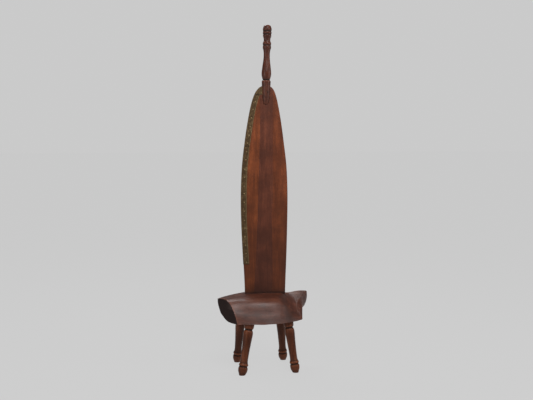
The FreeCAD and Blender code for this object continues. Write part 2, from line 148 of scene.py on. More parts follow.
def node(tree, kind, inputs=(), **settings):
    """Add a shader node; settings are its properties, and inputs its socket values or incoming links."""
    made = tree.nodes.new(kind)
    for key, value in settings.items():
        setattr(made, key, value)
    for key, value in dict(inputs).items():
        if isinstance(value, bpy.types.NodeSocket):
            tree.links.new(value, made.inputs[key])
        else:
            made.inputs[key].default_value = value
    return made


def ramp(tree, factor, *stops):
    """A colour ramp driven by factor; each stop is a place from 0 to 1 and a colour or a grey."""
    made = node(tree, "ShaderNodeValToRGB", {"Fac": factor})
    elements = made.color_ramp.elements
    while len(elements) < len(stops):
        elements.new(0.5)
    for element, (place, colour) in zip(elements, stops):
        element.position = place
        element.color = (*colour, 1) if isinstance(colour, tuple) else (colour, colour, colour, 1)
    return made.outputs["Color"]


def blend(tree, factor, first, second):
    """Mix two colours by factor."""
    made = node(tree, "ShaderNodeMix", data_type="RGBA", blend_type="MIX")
    for socket, value in ((made.inputs[0], factor), (made.inputs[6], first), (made.inputs[7], second)):
        if isinstance(value, bpy.types.NodeSocket):
            tree.links.new(value, socket)
        elif isinstance(value, tuple):
            socket.default_value = (*value, 1)
        else:
            socket.default_value = value
    return made.outputs[2]


def sums(tree, operation, first, second, limit=False):
    """One sum of two numbers or sockets."""
    made = node(tree, "ShaderNodeMath", {0: first, 1: second}, operation=operation, use_clamp=limit)
    return made.outputs[0]


def stretched(tree, grain, shift, turn=(0, 0, 0), ratio=14.0):
    """Object coordinates squeezed along the grain, so that even noise draws long streaks down the wood."""
    place = node(tree, "ShaderNodeTexCoord").outputs["Object"]
    turned = node(tree, "ShaderNodeMapping", {"Vector": place, "Location": shift, "Rotation": turn})
    squeeze = [1.0, 1.0, 1.0]
    squeeze["XYZ".index(grain)] = 1.0 / ratio
    return place, node(tree, "ShaderNodeMapping", {"Vector": turned.outputs[0], "Scale": squeeze}).outputs[0]


def noise(tree, place, scale, detail=3.0, rough=0.55, distort=0.0):
    """Cloudy noise from 0 to 1: scale is how many clouds fit in a metre, detail how many finer layers are
    added, rough how strongly they show, and distort how far they are stirred."""
    return node(tree, "ShaderNodeTexNoise", {
        "Vector": place, "Scale": scale, "Detail": detail, "Roughness": rough, "Distortion": distort,
    }).outputs["Fac"]


def toned(colour, share):
    """A colour made darker or lighter by a share, never past white."""
    return tuple(min(share * part, 1.0) for part in colour)


def new_material(name):
    """A fresh material, with its node tree and its main shader."""
    material = bpy.data.materials.new(name)
    material.use_nodes = True
    return material, material.node_tree, material.node_tree.nodes["Principled BSDF"]


def varnished_mahogany(name, grain, deep, warm, pale, shift=(0, 0, 0), turn=(0, 0, 0), gloss=0.42,
                       painted_shade_below=None, haze=0.0, shine=0.3, coat=0.05, patch=9):
    """Mahogany under old varnish: broad ribbon figure, fine streaks and short dark pores along the grain,
    blotches of darker varnish, edges rubbed paler, and grime and painted shade where the attribute is below
    zero.
    The pair of heights for painted shade lower down: between them the wood goes from painted darker to clean."""
    material, tree, shader = new_material(name)
    place, along = stretched(tree, grain, shift, turn)
    figure = noise(tree, along, 52, 4, 0.55, 0.35)
    streak = noise(tree, along, 170, 5, 0.7)
    colour = ramp(tree, figure, (0.3, deep), (0.52, warm), (0.74, pale))
    colour = blend(tree, ramp(tree, streak, (0.36, 0.5), (0.6, 0.0)), colour, deep)

    pore_place = stretched(tree, grain, shift, turn, 9.0)[1]
    pores = ramp(tree, noise(tree, pore_place, 1500, 2, 0.5), (0.3, 1.0), (0.4, 0.0))
    colour = blend(tree, sums(tree, "MULTIPLY", pores, 0.55), colour, toned(deep, 0.28))

    blotch = noise(tree, place, patch, 4, 0.65)
    dark_blotches = ramp(tree, blotch, (0.38, 0.62), (0.62, 0.0))
    colour = blend(tree, dark_blotches, colour, toned(deep, 0.62))
    # painted shade: the wood is painted darker lower down, fading out between the two heights
    if painted_shade_below:
        height = node(tree, "ShaderNodeSeparateXYZ", {"Vector": place}).outputs["Z"]
        uneven = sums(tree, "ADD", height, sums(tree, "MULTIPLY", blotch, 0.16))
        shade = node(tree, "ShaderNodeMapRange", {
            "Value": uneven, "From Min": painted_shade_below[0], "From Max": painted_shade_below[1],
            "To Min": 0.72, "To Max": 0.0}).outputs[0]
        colour = blend(tree, shade, colour, toned(deep, 0.5))

    wear_and_shade = node(tree, "ShaderNodeAttribute", attribute_name="wear_and_shade").outputs["Fac"]
    broken = noise(tree, place, 120, 4, 0.7)
    patchy = ramp(tree, broken, (0.34, 0.15), (0.6, 1.0))
    rubbed = sums(tree, "MULTIPLY", sums(tree, "MAXIMUM", wear_and_shade, 0.0), patchy, True)
    # below zero the attribute darkens the wood towards near black: grime, and painted shade on the seat and
    # the blade's foot
    hollow = sums(tree, "MAXIMUM", sums(tree, "MULTIPLY", wear_and_shade, -1.0), 0.0)
    grime_and_shade = sums(tree, "MULTIPLY", hollow, 0.85, True)
    colour = blend(tree, sums(tree, "MULTIPLY", rubbed, 0.75), colour, toned(pale, 1.5))
    colour = blend(tree, grime_and_shade, colour, (0.012, 0.007, 0.005))

    scuffs = ramp(tree, noise(tree, place, 260, 5, 0.75, 1.5), (0.63, 0.0), (0.72, 1.0))
    rough = sums(tree, "ADD", sums(tree, "MULTIPLY", noise(tree, place, 34, 4, 0.65), 0.22), gloss - 0.11)
    rough = sums(tree, "ADD", rough, sums(tree, "MULTIPLY", scuffs, 0.16))
    rough = sums(tree, "ADD", rough, sums(tree, "MULTIPLY", grime_and_shade, 0.6), True)
    if haze:
        colour = blend(tree, sums(tree, "MULTIPLY", scuffs, haze), colour, (0.19, 0.145, 0.13))
    relief = sums(tree, "SUBTRACT", sums(tree, "MULTIPLY", streak, 0.5), sums(tree, "MULTIPLY", pores, 0.7))
    bump = node(tree, "ShaderNodeBump", {"Height": relief, "Strength": 0.28, "Distance": 0.0004})
    tree.links.new(colour, shader.inputs["Base Color"])
    tree.links.new(rough, shader.inputs["Roughness"])
    tree.links.new(bump.outputs[0], shader.inputs["Normal"])
    shader.inputs["Specular IOR Level"].default_value = shine
    shader.inputs["Coat Weight"].default_value = coat
    shader.inputs["Coat Roughness"].default_value = 0.3
    return material


# Where each upright slice of the block stands, and the eight points its outline runs through: the sharp
# front-bottom edge, up the front face and over the shoulder to the back-top edge, down the back, under.
seat_slices = [
    # x, front, face, shoulder, top, back, rear, heel, belly: each as depth then height
    (-208, (-72, 216), (-60, 258), (-40, 292), (-10, 304), (32, 304), (32, 286), (10, 250), (-34, 222)),
    (-190, (-75, 215), (-60, 259), (-32, 297), (8, 308), (54, 305), (48, 280), (22, 244), (-28, 218)),
    (-172, (-78, 214), (-60, 260), (-27, 301), (20, 311), (73, 306), (66, 275), (30, 240), (-24, 215)),
    (-120, (-86, 213), (-66, 258), (-32, 303), (26, 315), (92, 312), (94, 275), (66, 226), (-10, 213)),
    (-60, (-98, 213), (-78, 253), (-44, 303), (20, 319), (105, 318), (112, 268), (92, 216), (0, 213)),
    (0, (-106, 214), (-86, 251), (-52, 302), (16, 319), (106, 318), (114, 268), (98, 215), (0, 213)),
    (52, (-106, 215), (-86, 251), (-50, 302), (14, 319), (104, 318), (111, 268), (92, 216), (0, 213)),
    (84, (-102, 217), (-82, 246), (-48, 289), (14, 315), (99, 318), (106, 268), (86, 218), (0, 213)),
    (110, (-96, 219), (-76, 239), (-44, 263), (12, 293), (94, 311), (99, 270), (76, 222), (-4, 213)),
    (134, (-90, 222), (-70, 237), (-34, 254), (16, 279), (88, 313), (91, 278), (64, 232), (-10, 215)),
    (162, (-80, 226), (-58, 241), (-22, 262), (26, 285), (80, 319), (85, 288), (56, 246), (-8, 221)),
    (188, (-72, 230), (-48, 250), (-8, 274), (32, 294), (70, 321), (76, 296), (52, 258), (0, 228)),
    (220, (-58, 236), (-38, 256), (2, 280), (38, 300), (62, 319), (68, 304), (52, 270), (8, 238)),
]
seat_bottom, seat_top = 213.0, 320.0
board_thickness = 21.4
board_count = 5
# The left end is one upright saw cut: a point it passes through, the way it faces, and how far it is eased.
left_through, left_facing, left_eased = (-133.8, -82.0), 209.0, 1.3
# The right end is scooped between the front corner and the horn: depth, then how far out the block reaches.
right_scoop = [
    (-110, 144), (-84, 150.5), (-50, 152), (-16, 151), (14, 156),
    (38, 173), (58, 201), (76, 212.4), (120, 218),
]
right_eased = 7.0
# where along the seat the blade stands, and how far its foot reaches each way
blade_middle_x, blade_half_foot = 13.0, 94
FRONT_STEPS, REAR_STEPS, BELLY_STEPS, LENGTH_STEPS = 56, 24, 34, 190
FINE_SLICES = 420


def seat_outline(points):
    """Points round one slice: front and top in one sweep, then the back, then the underside."""
    front = along_points(points[0:5], FRONT_STEPS)
    rear = along_points(points[4:7], REAR_STEPS)
    belly = along_points([points[6], points[7], points[0]], BELLY_STEPS)
    return np.concatenate([front[:-1], rear[:-1], belly[:-1]])


def seat_skin():
    """The carved surface as a grid: every line along the block runs smoothly through the slices, and is
    cut where it meets the two sawn ends."""
    stations = np.array([entry[0] for entry in seat_slices], float)
    outlines = np.array([seat_outline(entry[1:]) for entry in seat_slices])
    lengthways = np.linspace(stations[0], stations[-1], FINE_SLICES)
    depth_height = smooth_through(stations, outlines, lengthways)
    stem_x = np.broadcast_to(lengthways[:, None, None], depth_height.shape[:2] + (1,))
    stems = np.concatenate([stem_x, depth_height], -1)
    outward = np.array([math.cos(math.radians(left_facing)), math.sin(math.radians(left_facing))])
    past_left = (stems[..., :2] - np.array(left_through)) @ outward + left_eased
    scoop = np.array(right_scoop, float)
    past_right = stems[..., 0] - smooth_through(scoop[:, 0], scoop[:, 1], stems[..., 1]) + right_eased
    limits = []
    for past, from_left in ((past_left, True), (past_right, False)):
        inside = past < 0
        edge = inside.argmax(axis=0) if from_left else len(lengthways) - 1 - inside[::-1].argmax(axis=0)
        outer = edge - 1 if from_left else edge + 1
        columns = np.arange(stems.shape[1])
        share = past[edge, columns] / (past[edge, columns] - past[outer, columns])
        limits.append(lengthways[edge] + share * (lengthways[outer] - lengthways[edge]))
    spread = np.linspace(0, 1, LENGTH_STEPS)[:, None]
    wanted = limits[0] + spread * (limits[1] - limits[0])
    skin = np.empty(wanted.shape + (3,))
    skin[..., 0] = wanted
    place = (wanted - lengthways[0]) / (lengthways[1] - lengthways[0])
    low = np.clip(place.astype(int), 0, len(lengthways) - 2)
    columns = np.arange(wanted.shape[1])[None, :]
    share = (place - low)[..., None]
    skin[..., 1:] = (1 - share) * depth_height[low, columns] + share * depth_height[low + 1, columns]
    return skin


def eased_end(ring, facing, eased, rings=14):
    """Close an end from its outline: round the corner over in a quarter circle of the eased radius, then
    shrink flat rings to the middle.  Points move towards the middle of the ring as they go."""
    outward = np.array([math.cos(math.radians(facing)), math.sin(math.radians(facing)), 0])
    centre = ring.mean(axis=0)
    inward = centre - ring
    reach = np.linalg.norm(inward, axis=1, keepdims=True)
    inward = inward / reach
    made = []
    for turn in np.linspace(0, np.pi / 2, 7)[1:]:
        made.append(ring + inward * eased * (1 - math.cos(turn)) + outward * eased * math.sin(turn))
    rim = made[-1]
    centre = rim.mean(axis=0)
    made += [centre + (rim - centre) * (1 - step) for step in np.linspace(0, 0.97, rings)[1:]]
    return np.array(made)


skin = seat_skin()
left_cap = eased_end(skin[0], left_facing, left_eased)
right_cap = eased_end(skin[-1], 0.0, right_eased)
block = np.concatenate([left_cap[::-1], skin, right_cap])
uneven = np.stack([ripple(block, 95, 3), ripple(block, 80, 4), ripple(block, 110, 5)], -1)
carved = (np.arange(len(block)) >= len(left_cap))[:, None, None]
block = block + 0.55 * uneven * carved
block[..., 2] += np.where(block[..., 2] < 222, ripple(block, 60, 6), 0.0) * carved[..., 0]
block[..., 2] = np.maximum(block[..., 2], 212.0)

# Rubbed paler along the sitter's edge, over the right horn and down the sawn arris; painted shade round the
# blade's foot.
block_x, block_y, block_z = np.moveaxis(block, -1, 0)
along_edge = np.exp(-((block_y + 50) / 22) ** 2) * (block_z > 270)
near_arris = np.exp(-(np.arange(len(block)) - len(left_cap)) ** 2 / 8.0)[:, None]
right_horn = np.exp(-((block_x - 200) / 14) ** 2)
under_blade = (np.abs(block_x - blade_middle_x) < blade_half_foot) & (block_z > 300)
painted_shade_at_blade = np.exp(-((block_y - 47) / 5) ** 2) * under_blade
# Painted shade: the hollow side of the hub and the outer half of the horn are painted darker and duller.
from_hub_side = block_x - 84 + 0.3 * (block_y + 60)
painted_shade_side = np.exp(-(from_hub_side / 17) ** 2) * np.clip((10 - block_y) / 40, 0, 1)
painted_shade_horn = np.clip((block_x - 166) / 22, 0, 1) * np.clip((block_z - 262) / 14, 0, 1)
seat_wear_and_shade = (0.3 * along_edge + 0.5 * near_arris + 0.35 * right_horn - 0.85 * painted_shade_at_blade
             - 0.42 * painted_shade_side - 0.5 * painted_shade_horn)

rows, columns = block.shape[:2]
faces = capped_faces(rows, columns)
whole_seat = mesh_from("whole_seat", block, faces, seat_wear_and_shade)
# the sawn left end is bare end grain, out to the last four bands of its rounded corner
corner_bands = 4
sawn_faces = (len(left_cap) - corner_bands) * columns
whole_seat.data.polygons.foreach_set("material_index", (np.arange(len(faces)) < sawn_faces).astype(int))
whole_seat.data.polygons[len(faces) - 2].material_index = 1


def board_from(whole, name, cuts, into):
    """One board of a glued-up whole: what is left after flat cuts, closed over and carried into the frame.
    Each cut is a point that it passes through and the way it faces."""
    shape = bmesh.new()
    shape.from_mesh(whole.data)
    for through, facing in cuts:
        cut = bmesh.ops.bisect_plane(
            shape, geom=shape.verts[:] + shape.edges[:] + shape.faces[:], dist=1e-5,
            plane_co=through, plane_no=facing, clear_outer=True)
        rim = [item for item in cut["geom_cut"] if isinstance(item, bmesh.types.BMEdge)]
        if rim:
            bmesh.ops.holes_fill(shape, edges=rim, sides=0)
    bmesh.ops.recalc_face_normals(shape, faces=shape.faces[:])
    shape.transform(into)
    mesh = bpy.data.meshes.new(name)
    shape.to_mesh(mesh)
    shape.free()
    piece = bpy.data.objects.new(name, mesh)
    scene.collection.objects.link(piece)
    return piece


def sawn_end_grain(name):
    """The bare sawn end: very dark, with the boards' growth rings as soft bands, fine rays up the
    grain, and the marks of a coarse saw."""
    material, tree, shader = new_material(name)
    place = node(tree, "ShaderNodeTexCoord").outputs["Object"]
    flat = node(tree, "ShaderNodeMapping", {"Vector": place, "Scale": (1.0, 1.0, 3.2)}).outputs[0]
    growth = noise(tree, flat, 210, 3, 0.6, 0.6)
    rings = ramp(tree, growth, (0.35, (0.012, 0.006, 0.005)), (0.7, (0.026, 0.014, 0.012)))
    dust = ramp(tree, noise(tree, place, 900, 3, 0.7), (0.55, 0.0), (0.75, 0.5))
    colour = blend(tree, dust, rings, (0.036, 0.024, 0.020))
    strokes = {"Vector": place, "Scale": 260.0, "Distortion": 3.0, "Detail": 2.0}
    saw = node(tree, "ShaderNodeTexWave", strokes, bands_direction="Z").outputs["Fac"]
    bump = node(tree, "ShaderNodeBump", {"Height": saw, "Strength": 0.35, "Distance": 0.0005})
    wear_and_shade = node(tree, "ShaderNodeAttribute", attribute_name="wear_and_shade").outputs["Fac"]
    colour = blend(tree, sums(tree, "MULTIPLY", wear_and_shade, 0.8, True), colour, (0.12, 0.085, 0.075))
    tree.links.new(colour, shader.inputs["Base Color"])
    tree.links.new(bump.outputs[0], shader.inputs["Normal"])
    shader.inputs["Roughness"].default_value = 0.7
    shader.inputs["Specular IOR Level"].default_value = 0.12
    return material


sawn = sawn_end_grain("sawn_end_grain")
below_seat, above_seat = 200.0, 400.0
seat_deep, seat_warm, seat_pale = (0.056, 0.015, 0.008), (0.098, 0.028, 0.014), (0.150, 0.046, 0.023)
board_tones = (1.0, 0.9, 1.06, 0.94, 0.98)
for number, tone in enumerate(board_tones):
    low = seat_bottom + number * board_thickness if number else below_seat
    high = seat_bottom + (number + 1) * board_thickness if number < board_count - 1 else above_seat
    wood = varnished_mahogany(
        f"seat_board_{number + 1}_wood", "X", toned(seat_deep, tone), toned(seat_warm, tone),
        toned(seat_pale, tone), shift=(0.37 * number, 0.21 * number, 0.13 * number),
        gloss=0.45, haze=0.5, shine=0.34, coat=0.1, patch=24)
    level_cuts = [((0, 0, low), (0, 0, -1)), ((0, 0, high), (0, 0, 1))]
    board = board_from(whole_seat, f"seat_board_{number + 1}", level_cuts, into_frame)
    finish_piece(board, [wood, sawn], "seat_mahogany", f"seat_ply_{number + 1}")
bpy.data.objects.remove(whole_seat)


# ---- Blade ----------------------------------------------------------------------------------------------
# The back of the chair: one propeller blade, glued up from long mahogany boards that lie at a slant to its
# face, so that their joints run up the face as two long tone changes.  It leans back a little.

# height above the seat, leading edge out, trailing edge out, thickness, twist
blade_sections = [
    (-24, 90, 91, 40, 1.0), (60, 92, 94, 37, 0.5), (180, 98, 99, 32, -0.5),
    (330, 103.5, 103, 27, -2.0), (450, 103.5, 104, 23, -3.0), (560, 98, 100, 19.5, -4.0),
    (660, 86.5, 89, 16.5, -4.5), (760, 71, 76, 14, -5.0), (840, 54, 62, 12, -5.5),
    (886, 37, 50, 10.5, -5.5), (908, 20, 37, 9, -5.5), (917, 6, 22, 7, -5.5),
]
blade_front_share = 0.25        # part of the thickness in front of the chord; the rest is the rounded back
blade_stand = Matrix.Translation((blade_middle_x, 60.0, seat_top))
blade_lean = Matrix.Rotation(math.radians(0.25), 4, "Y") @ Matrix.Rotation(math.radians(-3.0), 4, "X")
blade_into_frame = into_frame @ blade_stand @ blade_lean
ply_tilt = math.radians(14.3)
ply_faces = (21.9, 2.9, -16.1)  # depths of the glue lines, measured square to the boards


def blade_sizes(rises):
    """Leading edge, trailing edge, thickness and twist at many heights."""
    table = np.array(blade_sections, float)
    return smooth_through(table[:, 0], table[:, 1:], rises)


def blade_face(rises, shares, back, grow=0.0, inset=None):
    """Points across one face at each height, from the leading edge.

    The place across is half width x cosine of an angle; the depth is the back share times its sine
    behind, and the front share times the root of its sine in front.  shares run 0 to 1 from the leading
    edge to the trailing edge, or to inset millimetres in from the leading edge.
    """
    leading, trailing, thick, twist = blade_sizes(rises).T[:, :, None]
    half = (leading + trailing) / 2 + grow
    middle = (trailing - leading) / 2
    reach = np.pi if inset is None else np.arccos(1 - (inset + grow) / half)
    angle = np.pi - reach * shares[None, :]
    lift = np.maximum(np.sin(angle), 0.0)
    across = middle + half * np.cos(angle)
    share = 1 - blade_front_share if back else blade_front_share
    depth = (thick * share + grow) * (lift if back else -np.sqrt(lift))
    turn = np.radians(twist)
    return np.stack([
        across * np.cos(turn) - depth * np.sin(turn), across * np.sin(turn) + depth * np.cos(turn),
        np.broadcast_to(rises[:, None], across.shape)], -1)


blade_rises = np.concatenate([
    np.linspace(-8, 830, 240), np.linspace(834, 912, 60), np.linspace(912.6, 917, 12),
])
face_shares = np.linspace(0, 1, 61)
edge_crowding = face_shares - 0.06 * np.sin(2 * np.pi * face_shares)
ahead = blade_face(blade_rises, edge_crowding, False)
behind = blade_face(blade_rises, edge_crowding, True)
around = np.concatenate([ahead[:, ::-1][:, :-1], behind[:, :-1]], axis=1)
# the hand-shaped face is not quite true: long shallow waves, and a softened run of small flats
waves = 0.45 * ripple(around * np.array([1, 1, 0.35]), 70, 21) + 0.12 * ripple(around, 16, 22)
around[..., 1] += waves * np.clip((917 - around[..., 2]) / 60, 0, 1)
crown = around[-1].mean(axis=0) + (around[-1] - around[-1].mean(axis=0)) * 0.5
crown[:, 2] += 1.5
around = np.concatenate([around, crown[None]])

edge_from = np.abs(np.concatenate([edge_crowding[::-1][:-1], edge_crowding[:-1]]) - 0.5) * 2
blade_wear_and_shade = 0.15 * np.clip((edge_from - 0.93) / 0.07, 0, 1)[None, :] * np.ones(len(around))[:, None]
# painted shade: the blade is painted darker towards its foot, where it stands in the seat
blade_wear_and_shade = blade_wear_and_shade - 0.9 * np.exp(-np.maximum(around[..., 2], 0) / 9.0)
rows, columns = around.shape[:2]
faces = capped_faces(rows, columns)
whole_blade = mesh_from("whole_blade", around, faces, blade_wear_and_shade)

# deep, warm and pale tones of each board, from the back one to the front right one
ply_tones = [
    ((0.064, 0.016, 0.007), (0.112, 0.030, 0.011), (0.165, 0.047, 0.017)),
    ((0.100, 0.024, 0.007), (0.184, 0.045, 0.013), (0.280, 0.072, 0.020)),
    ((0.068, 0.018, 0.009), (0.122, 0.033, 0.016), (0.182, 0.052, 0.024)),
    ((0.094, 0.023, 0.008), (0.172, 0.042, 0.014), (0.262, 0.067, 0.020)),
]
ply_limits = zip((*ply_faces, None), (None, *ply_faces))
square_to_plies = Vector((-math.sin(ply_tilt), math.cos(ply_tilt), 0))
for number, ((near, far), tones) in enumerate(zip(ply_limits, ply_tones), start=1):
    # the boards are painted darker towards the seat, a painted shade that fades out by 0.92 m up
    wood = varnished_mahogany(
        f"blade_ply_{number}_wood", "Z", *tones, shift=(0.31 * number, 0.17 * number, 0.4 * number),
        turn=(0, 0, -ply_tilt), gloss=0.46, painted_shade_below=(0.30, 0.92), shine=0.22, coat=0.03)
    slant_cuts = [(square_to_plies * depth, square_to_plies * way)
                  for depth, way in ((near, -1), (far, 1)) if depth is not None]
    ply = board_from(whole_blade, f"blade_board_{number}", slant_cuts, blade_into_frame)
    finish_piece(ply, [wood], "blade_mahogany", f"blade_ply_{number}")
bpy.data.objects.remove(whole_blade)


# ---- Brass sheathing ------------------------------------------------------------------------------------
# Thin sheet brass bent round the leading edge to guard it from stones: three lengths that butt together,
# the top one covering the whole corner of the tip.  Old, dull and olive, dented, with pale rubbed edges.

brass_gap = 0.2
brass_thickness = 1.0
brass_outside = brass_gap + brass_thickness
brass_width = 24.0
butt_gap = 0.25                 # left at each end of a length, where the next one butts against it
tip_brass_short = 5.0           # how far short of the blade's middle the tip's brass stops
tack_pitch, tack_first, tack_inset, tack_count = 37.5, 138.0, 13.0, 20
brass_lengths = [("brass_sheath_lower", 128.0, 650.0), ("brass_sheath_upper", 650.0, 877.0),
                 ("brass_sheath_tip", 877.0, 913.0)]
# the back row has one tack fewer, each halfway between two of the front row
tack_rises = [
    tack_first + tack_pitch * np.arange(tack_count),
    tack_first + tack_pitch * (np.arange(tack_count - 1) + 0.5),
]


def aged_brass(name, deep, warm, bright, rough):
    """Brass gone olive-brown: mottled tarnish, brown runs, paler where it is rubbed, and fine scratches."""
    material, tree, shader = new_material(name)
    place = node(tree, "ShaderNodeTexCoord").outputs["Object"]
    mottle = noise(tree, place, 95, 5, 0.65, 0.8)
    colour = ramp(tree, mottle, (0.34, deep), (0.56, warm), (0.75, bright))
    runs = stretched(tree, "Z", (0.2, 0.1, 0.0), ratio=8.0)[1]
    colour = blend(tree, ramp(tree, noise(tree, runs, 240, 3, 0.6), (0.42, 0.7), (0.58, 0.0)), colour, deep)
    wear_and_shade = node(tree, "ShaderNodeAttribute", attribute_name="wear_and_shade").outputs["Fac"]
    colour = blend(tree, sums(tree, "MAXIMUM", wear_and_shade, 0.0, True), colour, bright)
    grime = sums(tree, "MULTIPLY", sums(tree, "MINIMUM", wear_and_shade, 0.0), -0.9, True)
    colour = blend(tree, grime, colour, (0.02, 0.014, 0.008))
    dull = sums(tree, "ADD", sums(tree, "MULTIPLY", mottle, 0.3), rough - 0.15, True)
    pits = noise(tree, place, 1300, 3, 0.6)
    bump = node(tree, "ShaderNodeBump", {"Height": pits, "Strength": 0.2, "Distance": 0.0003})
    tree.links.new(colour, shader.inputs["Base Color"])
    tree.links.new(dull, shader.inputs["Roughness"])
    tree.links.new(bump.outputs[0], shader.inputs["Normal"])
    shader.inputs["Metallic"].default_value = 0.75
    return material


sheath_brass = aged_brass(
    "sheath_brass", (0.056, 0.031, 0.013), (0.115, 0.071, 0.032), (0.25, 0.175, 0.085), 0.52)


def dimples(points, back):
    """How deep the sheet is drawn in round each tack: a small smooth hollow under every head."""
    centres = blade_face(tack_rises[back], np.array([1.0]), bool(back), brass_outside, tack_inset)[:, 0]
    away = np.linalg.norm(points[..., None, :] - centres, axis=-1).min(axis=-1)
    return 0.55 * np.exp(-(away / 5.5) ** 2)


def sheath(name, low, high):
    """One bent length: an outer and an inner skin over the leading edge, joined along all their edges.
    The outer skin is dented by hand-sized ripples and drawn in at each tack."""
    rises = np.linspace(low + butt_gap, high - butt_gap, max(int((high - low) / 2.4), 8))
    inset = brass_width
    if name == "brass_sheath_tip":
        leading = blade_sizes(rises)[:, 0]
        inset = (leading - tip_brass_short)[:, None]
    shares = np.linspace(0, 1, 19) ** 1.3
    skins = []
    for grow in (brass_outside, brass_gap):
        front = blade_face(rises, shares, False, grow, inset)
        rear = blade_face(rises, shares, True, grow, inset)
        buckle = 0.32 * ripple(front, 26, 31) + 0.2 * ripple(front, 9, 32)
        ease = np.minimum(1, shares * 3)[None, :]
        front[..., 1] -= (buckle * 0.5 - dimples(front, 0)) * ease
        rear[..., 1] += (0.16 * ripple(rear, 26, 33) - dimples(rear, 1)) * ease
        skins.append(np.concatenate([front[:, ::-1], rear[:, 1:]], axis=1))
    outer, inner = skins
    loop = np.concatenate([outer, inner[:, ::-1]], axis=1)
    count = loop.shape[1]
    across = outer.shape[1]
    faces = grid_faces(len(rises), count).tolist()
    last = (len(rises) - 1) * count
    for column in range(across - 1):
        opposite = count - 1 - column
        faces.append([column + 1, column, opposite, opposite - 1])
        faces.append([last + column, last + column + 1, last + opposite - 1, last + opposite])
    side = np.abs(np.linspace(-1, 1, across))
    rub = 0.5 * np.clip((side - 0.93) / 0.07, 0, 1) + 0.45 * np.exp(-(side / 0.08) ** 2)
    ends = np.exp(-(rises - rises[0]) / 1.5) + np.exp(-(rises[-1] - rises) / 1.5)
    wear_and_shade = rub[None, :] - 0.9 * ends[:, None]
    wear_and_shade = np.concatenate([wear_and_shade, wear_and_shade[:, ::-1]], axis=1)
    piece = mesh_from(name.replace("sheath", "sheathing"), loop, faces, wear_and_shade)
    piece.data.transform(blade_into_frame)
    return piece


for name, low, high in brass_lengths:
    finish_piece(sheath(name, low, high), [sheath_brass], "aged_brass", name, angle=50)


# ---- Tacks ----------------------------------------------------------------------------------------------
# Domed brass tacks down both faces of the sheathing, driven by hand, each a little out of line with the
# next and a little tilted, their domes rubbed brighter than the sheet.

tack_radius, tack_dome = 3.2, 1.5
tack_brass = aged_brass("tack_brass", (0.09, 0.057, 0.024), (0.17, 0.115, 0.052), (0.30, 0.22, 0.11), 0.48)


def tack_row(name, back, seed):
    """Every tack of one face in one mesh: a low dome of rings, its rim turned down to the sheet, closed
    underneath.  Ring radius falls as the cosine of an angle while its height rises as the sine."""
    rng = np.random.default_rng(seed)
    rises = tack_rises[back]
    seats = blade_face(rises, np.array([1.0]), bool(back), brass_outside, tack_inset)[:, 0]
    nearby = blade_face(rises, np.array([1.0]), bool(back), brass_outside, tack_inset + 1)[:, 0]
    slope = nearby - seats
    slope /= np.linalg.norm(slope, axis=1, keepdims=True)
    upward = np.tile([0.0, 0.0, 1.0], (len(rises), 1))
    outward = np.cross(upward, slope) if back else np.cross(slope, upward)
    outward += rng.normal(0, 0.05, outward.shape)
    outward /= np.linalg.norm(outward, axis=1, keepdims=True)
    seats = seats + slope * rng.normal(0, 0.7, (len(rises), 1)) + upward * rng.normal(0, 1.6, (len(rises), 1))
    sizes = rng.uniform(0.9, 1.08, len(rises))
    angles = np.linspace(0, np.pi / 2, 6)[:-1]
    radii = np.concatenate([[0.25, 1.0, 1.0], np.cos(angles[1:]), [0.12]])
    heights = np.concatenate([[-0.5, -0.5, 0.0], np.sin(angles[1:]), [1.0]])
    turn = np.linspace(0, 2 * np.pi, 18, endpoint=False)
    ring = np.stack([np.cos(turn), np.sin(turn)], -1)
    flat = ring[None] * radii[:, None, None] * tack_radius
    local = flat[None] * sizes[:, None, None, None]
    lift = np.broadcast_to((heights * tack_dome - 0.35)[None, :, None], local.shape[:3])
    points = (seats[:, None, None] + local[..., :1] * slope[:, None, None]
              + local[..., 1:] * upward[:, None, None] + lift[..., None] * outward[:, None, None])
    rows, columns = len(radii), len(turn)
    one = capped_faces(rows, columns)
    starts = [number * rows * columns for number in range(len(rises))]
    faces = [[start + corner for corner in face] for start in starts for face in one]
    wear_and_shade = np.broadcast_to(np.linspace(-0.5, 0.8, rows)[None, :, None], points.shape[:3])
    piece = mesh_from(name, points, faces, wear_and_shade)
    shape = bmesh.new()
    shape.from_mesh(piece.data)
    bmesh.ops.recalc_face_normals(shape, faces=shape.faces[:])
    shape.transform(blade_into_frame)
    shape.to_mesh(piece.data)
    shape.free()
    return piece


for back, face in enumerate(("front", "back")):
    row = tack_row(f"tacks_{face}", back, 41 + back)
    finish_piece(row, [tack_brass], "tack_brass", f"sheath_tacks_{face}", angle=60)


# ---- Finial ---------------------------------------------------------------------------------------------
# One turned spindle whose lower end is slotted to straddle the blade's tip, with a bullet-shaped cheek in
# front and another behind.  It stands a little askew.  Turned marks show faintly round it.

# height up the spindle, diameter, and whether the profile has a crisp corner there
finial_turning = [
    (0, 1, False), (3, 14, False), (12, 26, False), (40, 35, False), (78, 38.5, False),
    (96, 39, False), (105, 40, False), (109, 39, True), (113, 30, True), (118, 34, False),
    (128, 40, False), (142, 43, False), (168, 38, False), (205, 29, False), (228, 27.5, False),
    (244, 31, False), (253, 36.5, False), (258, 37.5, False), (263, 36, True), (266, 33.5, True),
    (269, 36.5, False), (273, 37.5, False), (278, 36, False), (286, 29.5, False), (297, 31, False),
    (303, 35.5, False), (308, 37.5, False), (312, 36.5, True), (314.5, 34.5, True), (317, 38, False),
    (321, 39.4, False), (325, 38.5, True), (328, 35.5, True), (331, 38.5, False), (336, 39.4, False),
    (341, 39, True), (343, 36.5, True), (348, 34, False), (353, 27, False), (355.6, 14, False),
    (356, 1, False),
]
finial_stand = Matrix.Translation((9.0, 2.5, 829.0)) @ Matrix.Rotation(math.radians(1.5), 4, "Y")


